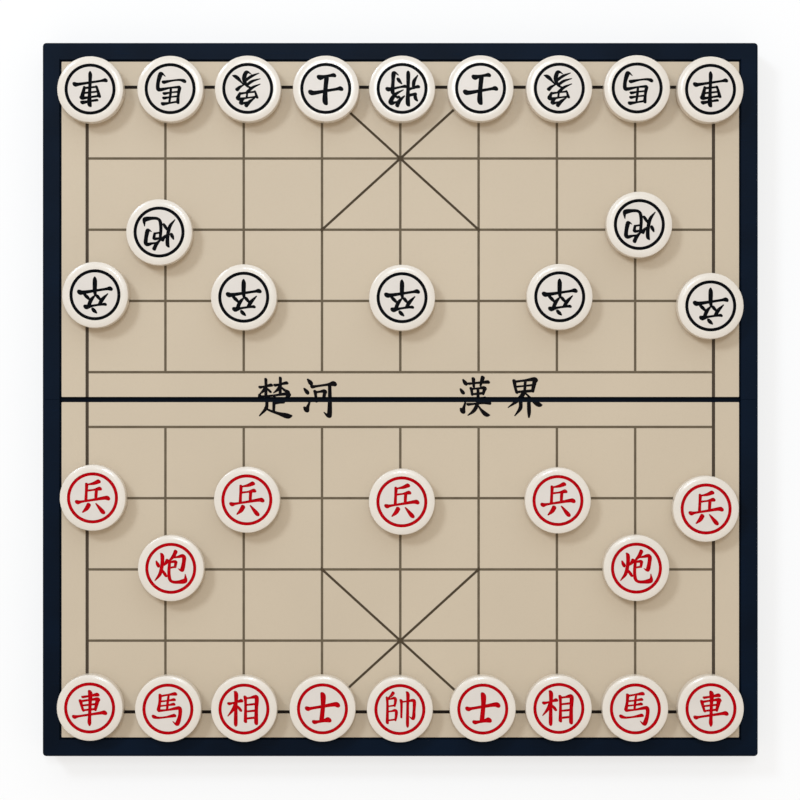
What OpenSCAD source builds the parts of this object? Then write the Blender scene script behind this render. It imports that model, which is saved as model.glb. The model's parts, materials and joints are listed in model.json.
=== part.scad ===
// Folding magnetic xiangqi box: two hollow halves hinged along the river, with a printed steel
// playing sheet on top of each, a storage tray inside each, and a full set of discs set out.
// The board lies open on its feet. X runs along the seam, +Y points to the far (black) side,
// +Z points up, and the origin is on the table below the centre of the board.

/* [Case] */
// Width of the box along its seam
case_w = 325; // [310:1:420]
// Depth of one half, from the seam to its outer edge
half_d = 162.1; // [150:0.1:210]
// Height of one half, from its rim to the top of its frame
case_h = 17.5; // [17:0.1:24]
// Thickness of the side walls
wall_t = 2.2; // [1.8:0.1:2.8]
// Thickness of the panel under the playing sheet
panel_t = 1.8; // [1.4:0.1:2.2]
// Width of the frame round the playing sheet
frame_w = 7.8; // [6:0.1:10]
// Height of the frame above the playing sheet
frame_lip = 0.4; // [0.2:0.1:0.5]
// Radius of the upright outer corners
corner_r = 2; // [1:0.1:4]
// Radius along the frame's outer top edge
edge_r = 1; // [0.6:0.1:1.6]
// Gap between the walls of the two halves at the seam
seam_gap = 0; // [0:0.05:0.6]
// Thickness of the stiffening ribs inside
rib_t = 1.4; // [1:0.1:2]

/* [Playing sheet] */
// Thickness of the steel sheet
sheet_t = 0.5; // [0.3:0.1:0.8]
// Gap between the sheet's edge and the frame
sheet_gap = 0.8; // [0.4:0.05:1]
// Depth of the groove in that gap, below the sheet's seat
gap_depth = 1; // [0.5:0.1:1]
// Distance from the seam to the edge of the sheet
sheet_seam = 1.2; // [0.6:0.05:1.5]
// Depth of the groove between the two sheets, below their seats
seam_depth = 3; // [1:0.5:6]
// Distance from the sheet's side edge to the outer file
side_margin = 11.6; // [9:0.1:16]
// Distance from the sheet's outer edge to the last rank
end_margin = 11.6; // [9:0.1:16]
// Width of the river between its two banks
river_w = 24.9; // [20:0.1:32]
// Thickness of the printed ink
ink_t = 0.06; // [0.04:0.01:0.1]
// Width of the grid's inner lines
line_w = 1.1; // [0.5:0.05:1.2]
// Width of the line round the grid
border_w = 1.45; // [0.8:0.05:1.6]
// Diameter of the dot at the centre of each palace
dot_d = 1.8; // [1.2:0.1:3]

/* [Discs] */
// Diameter of a disc
disc_d = 30; // [25:0.5:31]
// Thickness of a disc
disc_h = 9.5; // [8:0.1:11.5]
// Radius of the shoulder round the flat face
shoulder_r = 8; // [7:0.5:9]
// Slope of the shoulder at its outer edge, in degrees
shoulder_slope = 16; // [12:1:18]
// Radius of the corner between the shoulder and the side
corner_top_r = 0.4; // [0.3:0.1:1]
// Radius of the corner round the underside
corner_low_r = 3; // [2.6:0.1:3.2]
// Radius of the slightly convex side
disc_side_r = 60; // [30:1:80]
// Width of the engraved ring
ring_w = 1.45; // [0.6:0.05:1.8]
// Distance from the ring to the edge of the flat face
ring_edge = 0.85; // [0.4:0.05:2]
// Depth of the engraved ring
ring_depth = 0.25; // [0.1:0.05:0.5]
// Diameter of the magnet in a disc
magnet_d = 10; // [6:0.5:12]
// Thickness of the magnet
magnet_t = 2; // [1:0.1:3]
// Diameter of the cap that closes the underside
cap_d = 18; // [15:0.5:20]
// Thickness of the cap
cap_t = 1; // [0.6:0.1:1.5]

/* [Hinge] */
// Distance of each set of knuckles from the middle of the seam
hinge_x = 110; // [80:1:125]
// Number of knuckles in a set, an odd number
knuckle_n = 5; // [3:2:7]
// Length of one knuckle
knuckle_l = 9; // [6:0.5:12]
// Radius of the knuckles
knuckle_r = 2.2; // [1.8:0.1:2.3]
// Radius of the hinge pins
pin_r = 0.9; // [0.6:0.05:1]

/* [Clasps] */
// Distance of each clasp from the middle of the outer wall
clasp_x = 75; // [50:1:100]
// Width of a clasp
clasp_w = 22; // [16:0.5:30]
// Thickness of a clasp
clasp_t = 2.4; // [2.2:0.1:2.6]
// Length of a clasp from its pivot to its tip
clasp_l = 11; // [9:0.1:11.5]
// Radius of the clasp pins
clasp_pin_r = 0.6; // [0.4:0.05:0.7]

/* [Tray and feet] */
// Thickness of the tray's plate and walls
tray_t = 1; // [0.8:0.1:1.4]
// Discs that lie side by side in one lane
lane_discs = 8; // [6:1:8]
// Width of the bridge between the two lanes of a tray
bridge_w = 43; // [30:1:50]
// Height of the feet
foot_h = 2.5; // [2.4:0.1:3]
// Diameter of the feet
foot_d = 8; // [6:0.5:9]
// Diameter of a screw's shank
screw_d = 2.8; // [2.2:0.1:3.2]

/* [Hidden] */
$fn = 64;
// Running clearance of a pin in its bore
pin_gap = 0.05;
// Clearance between parts that move past each other
free_gap = 0.4;
// Clearance round the magnet and the cap
seat_gap = 0.1;
// Thickness of the glue between a disc's magnet, cap and body
glue = 0.05;
// Clearance round the tray
tray_gap = 0.4;
// How far a cutting shape passes the surface that it cuts
cut = 1;

rim_z = foot_h;
top_z = rim_z + case_h;
sheet_top = top_z - frame_lip;
sheet_z = sheet_top - sheet_t;
panel_z = sheet_z - panel_t;
play_z = sheet_top + ink_t;
seam_y = seam_gap / 2;
inner_w = case_w - 2 * wall_t;
inner_y0 = seam_y + wall_t;
inner_y1 = half_d - wall_t;
mid_y = (inner_y0 + inner_y1) / 2;
// Radii of the case's smaller edges: at the seam, along the rim, inside and round the sheet
seam_r = 0.2;
rim_r = 0.4;
inner_r = 1.2;
sheet_r = 0.3;
lip_chamfer = 0.25;

// The grid fills the sheet inside its margins
recess_x = case_w / 2 - frame_w;
recess_y = half_d - frame_w;
sheet_x = recess_x - sheet_gap;
sheet_y = recess_y - sheet_gap;
bank_y = river_w / 2;
last_y = sheet_y - end_margin;
file_pitch = (sheet_x - side_margin) / 4;
rank_pitch = (last_y - bank_y) / 4;

// Knuckles of a set are numbered from 0; the lower half has the even ones
knuckle_gap = 0.3;
hinge_clear = 0.3;
set_l = knuckle_n * knuckle_l + (knuckle_n - 1) * knuckle_gap;
pin_inset = 0.5;

// A clasp turns about the middle of its thickness and lies just inside the wall's face
clasp_inset = 0.15;
clasp_rise = 0.9;
clasp_z = rim_z + clasp_t / 2 + clasp_rise;
clasp_y = half_d - clasp_inset - clasp_t / 2;
clasp_pin_end = 3;
pocket_w = clasp_w + 2 * free_gap;
pocket_t = clasp_inset + clasp_t + free_gap;
pocket_wall = 1.6;
block_w = pocket_w + 2 * (clasp_pin_end + pocket_wall);
block_t = pocket_t + pocket_wall;
// The window in a clasp drops over a nub on the pocket's floor
window_w = 12;
window_h = 2.6;
window_s = 6;
nub_reach = 0.6 * clasp_t;
// Rounding of a clasp's tip, and the grip grooves below it
tip_r = 0.5;
grip_n = 3;
grip_w = 0.4;
grip_t = 0.3;
grip_pitch = 1;
grip_edge = 2;
// Slot for a fingernail past the tip
nail_w = 10;
nail_h = 1.8;
nail_t = 1.6;
// Height of a pocket's far end: where the clasp is stowed, and where it latches
stow_top = clasp_z + clasp_l + free_gap;
latch_top = 2 * rim_z - clasp_z + clasp_l + free_gap;
stow_nub_z = clasp_z + window_s;
latch_nub_z = 2 * rim_z - clasp_z + window_s;

// The tray lies deeper than the rim, so that the other half's feet clear it by foot_clear
foot_clear = 0.5;
tray_z = rim_z + foot_h + foot_clear;
tray_top = tray_z + tray_t;
tray_r = 1.5;
lane_gap = 0.75;
lane_slack = 0.6;
lane_w = disc_d + 2 * lane_gap;
lane_l = lane_discs * (disc_d + lane_slack) + 2 * lane_gap;
lane_r = 4;
lane_top = panel_z - tray_gap;
lane_off = (bridge_w + lane_w) / 2 + tray_t;
rib_gap = 0.3;
rib_z = tray_top + rib_gap;
rib_edge = 14;
rib_ys = [rib_edge, mid_y, half_d - rib_edge];
cross_rib_edge = 17;
cross_rib_x = case_w / 2 - cross_rib_edge;

// Feet stand in posts; the two halves' posts pass each other when the box is shut
post_r = 5;
foot_edge = 26;
foot_stagger = 14;
foot_x_lower = case_w / 2 - foot_edge;
foot_x_upper = foot_x_lower - foot_stagger;
foot_ys = [rib_ys[0], rib_ys[2]];
plug_r = 2;
plug_l = 4;
foot_chamfer = 0.6;
// Screws hold each tray to short posts on the ribs: place along X, and the rib's number
screw_x = 105;
screw_mid_x = 60;
screw_posts = [for (s = [-1, 1], i = [0:2]) [s * (i == 1 ? screw_mid_x : screw_x), rib_ys[i]]];
screw_post_r = 3.2;
screw_l = 7;
screw_head_r = 2.6;
screw_head_h = 1.5;
screw_slot_l = 3.4;
screw_slot_w = 0.7;
screw_slot_h = 0.8;

// Outline of a disc: the arcs of its shoulder, corners and side touch each other
side_x = disc_d / 2 - disc_side_r;
shoulder_reach = shoulder_r - corner_top_r;
corner_top_z = disc_h - shoulder_r + shoulder_reach * cos(shoulder_slope);
lean_top = asin((corner_top_z - disc_h / 2) / (disc_side_r - corner_top_r));
lean_low = asin((disc_h / 2 - corner_low_r) / (disc_side_r - corner_low_r));
corner_top_x = side_x + (disc_side_r - corner_top_r) * cos(lean_top);
corner_low_x = side_x + (disc_side_r - corner_low_r) * cos(lean_low);
flat_r = corner_top_x - shoulder_reach * sin(shoulder_slope);
ring_r = flat_r - ring_edge;

// Discs: node name, file from 0 at the left, rank from 0 at the player's own edge, and how
// far the disc was put down off the crossing along X and Y
black_discs = [
    ["black_chariot_left", 0, 0, 2.5, -2],
    ["black_horse_left", 1, 0, 3, -1.8],
    ["black_elephant_left", 2, 0, 2.4, -1.7],
    ["black_advisor_left", 3, 0, 2, -1.7],
    ["black_general", 4, 0, 0.8, -1.7],
    ["black_advisor_right", 5, 0, 0.6, -1.6],
    ["black_elephant_right", 6, 0, 0.5, -1.6],
    ["black_horse_right", 7, 0, 0, -1.5],
    ["black_chariot_right", 8, 0, -2.5, -2.1],
    ["black_cannon_left", 1, 2, -2, -1.7],
    ["black_cannon_right", 7, 2, 1, 1.7],
    ["black_soldier_1", 0, 3, 4.7, 2.4],
    ["black_soldier_2", 2, 3, 0.6, 1.3],
    ["black_soldier_3", 4, 3, 0.8, 1.1],
    ["black_soldier_4", 6, 3, 0.7, 1.5],
    ["black_soldier_5", 8, 3, -2.4, -2.6]
];
red_discs = [
    ["red_chariot_left", 0, 0, 2.3, 2.9],
    ["red_horse_left", 1, 0, 2, 2.4],
    ["red_elephant_left", 2, 0, 0.7, 2.4],
    ["red_advisor_left", 3, 0, 0.5, 2.5],
    ["red_general", 4, 0, -0.2, 2.2],
    ["red_advisor_right", 5, 0, 1.6, 2.4],
    ["red_elephant_right", 6, 0, 0.3, 2.7],
    ["red_horse_right", 7, 0, -0.8, 2.5],
    ["red_chariot_right", 8, 0, -2.3, 2.6],
    ["red_cannon_left", 1, 2, 3.3, 1.1],
    ["red_cannon_right", 7, 2, -0.3, 1.2],
    ["red_soldier_1", 0, 3, 3.6, 0.5],
    ["red_soldier_2", 2, 3, 2, -0.4],
    ["red_soldier_3", 4, 3, 0.7, -1.3],
    ["red_soldier_4", 6, 3, -0.1, -0.7],
    ["red_soldier_5", 8, 3, -4.5, -4.5]
];

// Start of knuckle i along X, in the set whose middle is at x
function knuckle_x(x, i) = x - set_l / 2 + i * (knuckle_l + knuckle_gap);

// The lower half is the upper half's form mirrored to the near side
module near_side() {
    mirror([0, 1, 0]) children();
}

// A profile drawn in Y and Z, carried along X from x0 to x1
module along_x(x0, x1) {
    translate([x0, 0, 0]) rotate([90, 0, 90]) linear_extrude(x1 - x0) children();
}

// A profile drawn in X and Z, carried along Y from y0 to y1
module along_y(y0, y1) {
    translate([0, y1, 0]) rotate([90, 0, 0]) linear_extrude(y1 - y0) children();
}

// What a corner at (x, y) loses to the radius r; sx and sy point into the shape
module corner_cut(x, y, sx, sy, r) {
    if (r > 0) difference() {
        translate([sx > 0 ? x - cut : x - r, sy > 0 ? y - cut : y - r]) square(r + cut);
        translate([x + sx * r, y + sy * r]) circle(r);
    }
}

// Rectangle with four corner radii: low left, low right, high right, high left
module soft_rect(x0, y0, x1, y1, r) {
    difference() {
        translate([x0, y0]) square([x1 - x0, y1 - y0]);
        corner_cut(x0, y0, 1, 1, r[0]);
        corner_cut(x1, y0, -1, 1, r[1]);
        corner_cut(x1, y1, -1, -1, r[2]);
        corner_cut(x0, y1, 1, -1, r[3]);
    }
}

// A block between two corners
module block(low, high) {
    translate(low) cube(high - low);
}

// Outer form of one half, with its edges rounded
module case_block() {
    x = case_w / 2;
    intersection() {
        translate([0, 0, rim_z]) linear_extrude(case_h)
            soft_rect(-x, seam_y, x, half_d, [seam_r, seam_r, corner_r, corner_r]);
        along_x(-x, x)
            soft_rect(seam_y, rim_z, half_d, top_z, [seam_r, rim_r, edge_r, seam_r]);
        along_y(0, half_d)
            soft_rect(-x, rim_z, x, top_z, [rim_r, rim_r, edge_r, edge_r]);
    }
}

module hollow() {
    translate([0, 0, rim_z - cut]) linear_extrude(panel_z - rim_z + cut)
        soft_rect(-inner_w / 2, inner_y0, inner_w / 2, inner_y1, [for (i = [0:3]) inner_r]);
}

// Outline of one half's sheet from seam_edge outwards, grown by more on its three outer sides
module sheet_outline(more, seam_edge) {
    soft_rect(-sheet_x - more, seam_edge, sheet_x + more, sheet_y + more, [for (i = [0:3]) sheet_r]);
}

// Seat of the sheet, open towards the seam, with a small chamfer round the frame's inner edge,
// the groove round the seat, and this half's side of the groove along the seam
module sheet_recess() {
    translate([0, 0, sheet_z]) linear_extrude(top_z - sheet_z + cut) sheet_outline(sheet_gap, -half_d);
    translate([0, 0, sheet_z - gap_depth]) linear_extrude(gap_depth + cut) difference() {
        sheet_outline(sheet_gap, -half_d);
        sheet_outline(0, -half_d - cut);
    }
    block([-recess_x, -cut, sheet_z - seam_depth], [recess_x, sheet_seam, sheet_z + cut]);
    bar = lip_chamfer * sqrt(2);
    translate([0, recess_y, top_z]) rotate([45, 0, 0])
        cube([2 * recess_x, bar, bar], center = true);
    for (s = [-1, 1]) translate([s * recess_x, recess_y / 2, top_z]) rotate([0, 45, 0])
        cube([bar, recess_y + cut, bar], center = true);
}

// Stiffening ribs above the tray: three along the seam, and one near each end
module ribs() {
    for (y = rib_ys) block(
        [-inner_w / 2 - wall_t / 2, y - rib_t / 2, rib_z],
        [inner_w / 2 + wall_t / 2, y + rib_t / 2, panel_z + panel_t / 2]
    );
    for (s = [-1, 1]) block(
        [s * cross_rib_x - rib_t / 2, inner_y0 - wall_t / 2, rib_z],
        [s * cross_rib_x + rib_t / 2, inner_y1 + wall_t / 2, panel_z + panel_t / 2]
    );
}

// A round post that hangs from the panel and ends at height z
module post(x, y, r, z) {
    translate([x, y, z]) cylinder(r = r, h = panel_z + panel_t / 2 - z);
}

module clasp_blocks() {
    for (s = [-1, 1]) block(
        [s * clasp_x - block_w / 2, half_d - block_t, rim_z],
        [s * clasp_x + block_w / 2, half_d - wall_t / 2, panel_z + panel_t / 2]
    );
}

// Pocket for a clasp from below the rim up to z, with a slot for a fingernail at its end
module clasp_pocket(z) {
    for (s = [-1, 1]) translate([s * clasp_x, 0, 0]) {
        block([-pocket_w / 2, half_d - pocket_t, rim_z - cut], [pocket_w / 2, half_d + cut, z]);
        block([-nail_w / 2, half_d - nail_t, z - cut], [nail_w / 2, half_d + cut, z + nail_h]);
    }
}

// Nubs that stand on the pockets' floors, in the window of the clasp
module clasp_nubs(z) {
    w = window_w - 2 * free_gap;
    h = window_h - 2 * free_gap;
    y = half_d - pocket_t;
    for (s = [-1, 1]) block(
        [s * clasp_x - w / 2, y - pocket_wall / 2, z - h / 2],
        [s * clasp_x + w / 2, y + free_gap + nub_reach, z + h / 2]
    );
}

// Every second knuckle of both sets, grown by the clearance grow all round
module knuckles(first, grow) {
    for (s = [-1, 1], i = [first:2:knuckle_n - 1]) {
        end_gap = grow > 0 ? knuckle_gap : 0;
        translate([knuckle_x(s * hinge_x, i) - end_gap, 0, rim_z]) rotate([0, 90, 0])
            cylinder(r = knuckle_r + grow, h = knuckle_l + 2 * end_gap);
    }
}

module hinge_bores() {
    for (s = [-1, 1]) translate([s * hinge_x - set_l / 2 - cut, 0, rim_z]) rotate([0, 90, 0])
        cylinder(r = pin_r + pin_gap, h = set_l + 2 * cut);
}

module clasp_pin_bores() {
    l = pocket_w + 2 * (clasp_pin_end + pin_gap);
    for (s = [-1, 1]) translate([s * clasp_x - l / 2, clasp_y, clasp_z]) rotate([0, 90, 0])
        cylinder(r = clasp_pin_r + pin_gap, h = l);
}

// One half of the case. The lower half has the even knuckles and the clasps' pivots.
module case_half(first_knuckle, foot_x, pocket_top, nub_z, has_pivots) {
    difference() {
        union() {
            difference() {
                case_block();
                hollow();
            }
            ribs();
            clasp_blocks();
            for (s = [-1, 1], y = foot_ys) post(s * foot_x, y, post_r, rim_z);
            for (p = screw_posts) post(p[0], p[1], screw_post_r, tray_top);
            knuckles(first_knuckle, 0);
        }
        sheet_recess();
        knuckles(1 - first_knuckle, hinge_clear);
        hinge_bores();
        clasp_pocket(pocket_top);
        if (has_pivots) clasp_pin_bores();
        for (s = [-1, 1], y = foot_ys) translate([s * foot_x, y, rim_z - cut])
            cylinder(r = plug_r + pin_gap, h = plug_l + cut + pin_gap);
        for (p = screw_posts) translate([p[0], p[1], tray_top - cut])
            cylinder(d = screw_d + 2 * pin_gap, h = screw_l + cut);
    }
    clasp_nubs(nub_z);
}

module lower_case() {
    color([0.07, 0.11, 0.16]) near_side() case_half(0, foot_x_lower, stow_top, stow_nub_z, true);
}

module upper_case() {
    color([0.07, 0.11, 0.16]) case_half(1, foot_x_upper, latch_top, latch_nub_z, false);
}

module sheet() {
    color([0.8, 0.73, 0.64]) translate([0, 0, sheet_z]) linear_extrude(sheet_t)
        sheet_outline(0, sheet_seam);
}

// A line of the grid between two points
module grid_line(a, b, w) {
    d = b - a;
    translate(a) rotate(atan2(d[1], d[0])) translate([-w / 2, -w / 2]) square([norm(d) + w, w]);
}

// The printed grid of one half: its ranks, its files, the palace and the line round it all,
// whose sides run on across the river to the edge of the sheet
module grid() {
    x = 4 * file_pitch;
    color([0.25, 0.21, 0.16]) translate([0, 0, sheet_top]) linear_extrude(ink_t) {
        for (i = [0:3]) grid_line([-x, bank_y + i * rank_pitch], [x, bank_y + i * rank_pitch], line_w);
        for (i = [-3:3]) grid_line([i * file_pitch, bank_y], [i * file_pitch, last_y], line_w);
        for (s = [-1, 1]) grid_line(
            [s * file_pitch, last_y - 2 * rank_pitch], [-s * file_pitch, last_y], line_w
        );
        translate([0, last_y - rank_pitch]) circle(d = dot_d);
        grid_line([-x, last_y], [x, last_y], border_w);
        for (s = [-1, 1]) grid_line(
            [s * x, sheet_seam + border_w / 2], [s * x, last_y], border_w
        );
    }
}

// Storage tray: a plate with two lanes sunk into it, in which the discs lie side by side
module tray(foot_x) {
    color([0.13, 0.14, 0.16]) difference() {
        union() {
            translate([0, 0, tray_z]) linear_extrude(tray_t) soft_rect(
                -inner_w / 2 + tray_gap, inner_y0 + tray_gap,
                inner_w / 2 - tray_gap, inner_y1 - tray_gap, [for (i = [0:3]) tray_r]
            );
            lanes(tray_t, tray_z, lane_top);
        }
        lanes(0, tray_z - cut, lane_top - tray_t);
        for (s = [-1, 1], y = foot_ys) translate([s * foot_x, y, tray_z - cut])
            cylinder(r = post_r + tray_gap, h = tray_t + 2 * cut);
        for (p = screw_posts) translate([p[0], p[1], tray_z - cut])
            cylinder(d = screw_d + 2 * tray_gap, h = tray_t + 2 * cut);
        for (s = [-1, 1]) block(
            [s * clasp_x - block_w / 2 - tray_gap, half_d - block_t - tray_gap, tray_z - cut],
            [s * clasp_x + block_w / 2 + tray_gap, half_d, tray_top + cut]
        );
    }
}

// The form of both lanes from height z0 to z1, grown by grow all round
module lanes(grow, z0, z1) {
    x = lane_l / 2 + grow;
    w = lane_w / 2 + grow;
    for (s = [-1, 1]) translate([0, mid_y + s * lane_off, z0]) linear_extrude(z1 - z0)
        soft_rect(-x, -w, x, w, [for (i = [0:3]) lane_r + grow]);
}

// Cross-headed screws that hold the tray to its posts
module tray_screws() {
    color([0.6, 0.6, 0.62]) for (p = screw_posts) translate([p[0], p[1], tray_z]) difference() {
        union() {
            translate([0, 0, -screw_head_h]) cylinder(r = screw_head_r, h = screw_head_h);
            cylinder(d = screw_d, h = screw_l);
        }
        for (a = [0, 90]) rotate(a) translate([0, 0, -screw_head_h])
            cube([screw_slot_l, screw_slot_w, 2 * screw_slot_h], center = true);
    }
}

// Rubber feet, each with a plug in its post
module feet(foot_x) {
    r = foot_d / 2;
    color([0.1, 0.1, 0.1]) for (s = [-1, 1], y = foot_ys) translate([s * foot_x, y, 0])
        rotate_extrude() polygon([
            [0, 0], [r - foot_chamfer, 0], [r, foot_chamfer], [r, foot_h],
            [plug_r, foot_h], [plug_r, foot_h + plug_l], [0, foot_h + plug_l]
        ]);
}

module hinge_pin(s) {
    color([0.72, 0.72, 0.74]) translate([s * hinge_x - set_l / 2 + pin_inset, 0, rim_z])
        rotate([0, 90, 0]) cylinder(r = pin_r, h = set_l - 2 * pin_inset);
}

// A clasp stowed upright in its pocket: a round pivot end, a window and grip grooves
module clasp(s) {
    t = clasp_t / 2;
    color([0.09, 0.13, 0.18]) near_side() translate([s * clasp_x, clasp_y, clasp_z]) difference() {
        along_x(-clasp_w / 2, clasp_w / 2) {
            circle(t);
            soft_rect(-t, 0, t, clasp_l, [0, 0, tip_r, tip_r]);
        }
        along_x(-clasp_w, clasp_w) circle(clasp_pin_r + pin_gap);
        block(
            [-window_w / 2, -clasp_t, window_s - window_h / 2],
            [window_w / 2, clasp_t, window_s + window_h / 2]
        );
        for (i = [1:grip_n]) block(
            [-clasp_w / 2 + grip_edge, t - grip_t, clasp_l - i * grip_pitch - grip_w],
            [clasp_w / 2 - grip_edge, clasp_t, clasp_l - i * grip_pitch]
        );
    }
}

module clasp_pin(s) {
    l = pocket_w + 2 * clasp_pin_end;
    color([0.72, 0.72, 0.74]) near_side() translate([s * clasp_x - l / 2, clasp_y, clasp_z])
        rotate([0, 90, 0]) cylinder(r = clasp_pin_r, h = l);
}

// Points of an arc round the centre c from angle a0 to a1, in n steps
function arc(c, r, a0, a1, n) = [
    for (i = [0:n]) let (a = a0 + (a1 - a0) * i / n) c + r * [cos(a), sin(a)]
];

// Outline of a disc from the axis, round its lower corner, up its side and over its shoulder.
// The side's arc is drawn in two, so that its widest point is one of its corners.
function disc_outline() =
    let (fall = 90 - shoulder_slope)
    concat(
        [[0, 0]],
        arc([corner_low_x, corner_low_r], corner_low_r, -90, -lean_low, 8),
        arc([side_x, disc_h / 2], disc_side_r, -lean_low, 0, 3),
        arc([side_x, disc_h / 2], disc_side_r, 0, lean_top, 4),
        arc([corner_top_x, corner_top_z], corner_top_r, lean_top, fall, 4),
        arc([flat_r, disc_h - shoulder_r], shoulder_r, fall, 90, 4),
        [[0, disc_h]]
    );

// One disc on the sheet: the body with its ring, the magnet and the cap below it
module disc() {
    magnet_z = cap_t + glue;
    rotate_extrude() difference() {
        polygon(disc_outline());
        translate([ring_r - ring_w, disc_h - ring_depth]) square([ring_w, cut]);
        translate([-cut, -cut]) square([cut + cap_d / 2 + seat_gap, cut + cap_t]);
        translate([-cut, -cut])
            square([cut + magnet_d / 2 + seat_gap, cut + magnet_z + magnet_t + glue]);
    }
    translate([0, 0, magnet_z]) cylinder(d = magnet_d, h = magnet_t);
    cylinder(d = cap_d, h = cap_t - glue);
}

// Discs of one side; s is 1 for black and -1 for red
module discs(list, s) {
    for (d = list) union() {
        x = (d[1] - 4) * file_pitch + d[3];
        y = s * (last_y - d[2] * rank_pitch) + d[4];
        color([0.96, 0.94, 0.9]) translate([x, y, play_z]) disc();
    }
}

lower_case();
upper_case();
near_side() sheet();  // lower_sheet
sheet();  // upper_sheet
near_side() grid();  // lower_grid
grid();  // upper_grid
near_side() tray(foot_x_lower);  // lower_tray
tray(foot_x_upper);  // upper_tray
near_side() tray_screws();  // lower_tray_screws
tray_screws();  // upper_tray_screws
near_side() feet(foot_x_lower);  // lower_feet
feet(foot_x_upper);  // upper_feet
hinge_pin(-1);  // hinge_pin_left
hinge_pin(1);  // hinge_pin_right
clasp(-1);  // clasp_left
clasp(1);  // clasp_right
clasp_pin(-1);  // clasp_pin_left
clasp_pin(1);  // clasp_pin_right
discs(black_discs, 1);
discs(red_discs, -1);
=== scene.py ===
import json
import math

import bmesh
import bpy
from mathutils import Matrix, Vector
from mathutils.geometry import delaunay_2d_cdt

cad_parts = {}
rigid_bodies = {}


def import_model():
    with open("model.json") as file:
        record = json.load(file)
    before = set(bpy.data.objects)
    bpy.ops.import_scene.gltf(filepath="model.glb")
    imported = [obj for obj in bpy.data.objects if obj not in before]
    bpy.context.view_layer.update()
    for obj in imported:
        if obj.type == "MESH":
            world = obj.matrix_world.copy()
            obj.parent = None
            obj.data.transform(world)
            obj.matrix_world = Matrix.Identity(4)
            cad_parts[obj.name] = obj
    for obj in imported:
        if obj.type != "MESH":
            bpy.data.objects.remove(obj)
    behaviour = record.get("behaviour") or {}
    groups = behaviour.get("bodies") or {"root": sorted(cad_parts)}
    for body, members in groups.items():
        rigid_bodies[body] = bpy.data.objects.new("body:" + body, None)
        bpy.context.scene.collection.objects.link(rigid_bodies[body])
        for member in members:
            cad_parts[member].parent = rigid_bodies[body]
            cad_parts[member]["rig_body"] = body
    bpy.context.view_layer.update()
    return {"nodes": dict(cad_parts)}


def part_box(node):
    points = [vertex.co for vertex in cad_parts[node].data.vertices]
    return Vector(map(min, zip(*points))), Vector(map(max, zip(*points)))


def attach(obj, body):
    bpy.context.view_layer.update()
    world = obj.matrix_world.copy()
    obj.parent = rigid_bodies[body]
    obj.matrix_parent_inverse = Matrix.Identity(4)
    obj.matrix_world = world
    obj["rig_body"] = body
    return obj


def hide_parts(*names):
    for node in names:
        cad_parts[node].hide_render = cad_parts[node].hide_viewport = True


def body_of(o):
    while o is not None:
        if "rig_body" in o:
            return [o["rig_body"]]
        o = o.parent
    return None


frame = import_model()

MM = 0.001
SHEET_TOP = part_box("upper_sheet")[1].z
INK_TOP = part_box("upper_grid")[1].z
SHEET_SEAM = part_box("upper_sheet")[0].y
# Where the line round the grid begins, along X and Y
BORDER_WIDTH = 1.45 * MM
GRID_EDGE = [far - BORDER_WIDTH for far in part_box("upper_grid")[1].xy]
# Distance from the board's middle of the outer file, of the last rank and of the river bank
OUTER_FILE, LAST_RANK = (edge + BORDER_WIDTH / 2 for edge in GRID_EDGE)
RIVER_BANK = 12.45 * MM
FILE_PITCH = OUTER_FILE / 4
RANK_PITCH = (LAST_RANK - RIVER_BANK) / 4
# The palace: its centre along Y, how far from it its diagonals reach, and half the width in which
# their darker ink is laid, both in pitches
PALACE_MIDDLE = LAST_RANK - RANK_PITCH
PALACE_REACH = 1.02
DIAGONAL_REACH = 0.03

# Camera: straight down over the board. The photograph is 800 px wide, a pixel is 0.4544 mm on the
# sheet, and the board's middle lies at PHOTO_MIDDLE.
PHOTO_SIZE = 800
PHOTO_MIDDLE = (400.3, 399.55)
PIXEL = 0.4544 * MM
CAMERA_RISE = 1.15
CLIP_NEAR = 0.01
CLIP_FAR = 20
SENSOR = 36


def make_camera():
    data = bpy.data.cameras.new("camera")
    data.sensor_width = SENSOR
    data.lens = SENSOR * CAMERA_RISE / (PHOTO_SIZE * PIXEL)
    data.clip_start = CLIP_NEAR
    data.clip_end = CLIP_FAR
    camera = bpy.data.objects.new("camera", data)
    camera.location = (
        (PHOTO_SIZE / 2 - PHOTO_MIDDLE[0]) * PIXEL,
        (PHOTO_MIDDLE[1] - PHOTO_SIZE / 2) * PIXEL,
        SHEET_TOP + CAMERA_RISE,
    )
    bpy.context.scene.collection.objects.link(camera)
    bpy.context.scene.camera = camera


def srgb(r, g, b):
    """A colour given as 0 to 255 on a screen, as linear light."""
    levels = [c / 255 for c in (r, g, b)]
    return tuple(v / 12.92 if v < 0.0404 else ((v + 0.055) / 1.055) ** 2.4 for v in levels)


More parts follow.
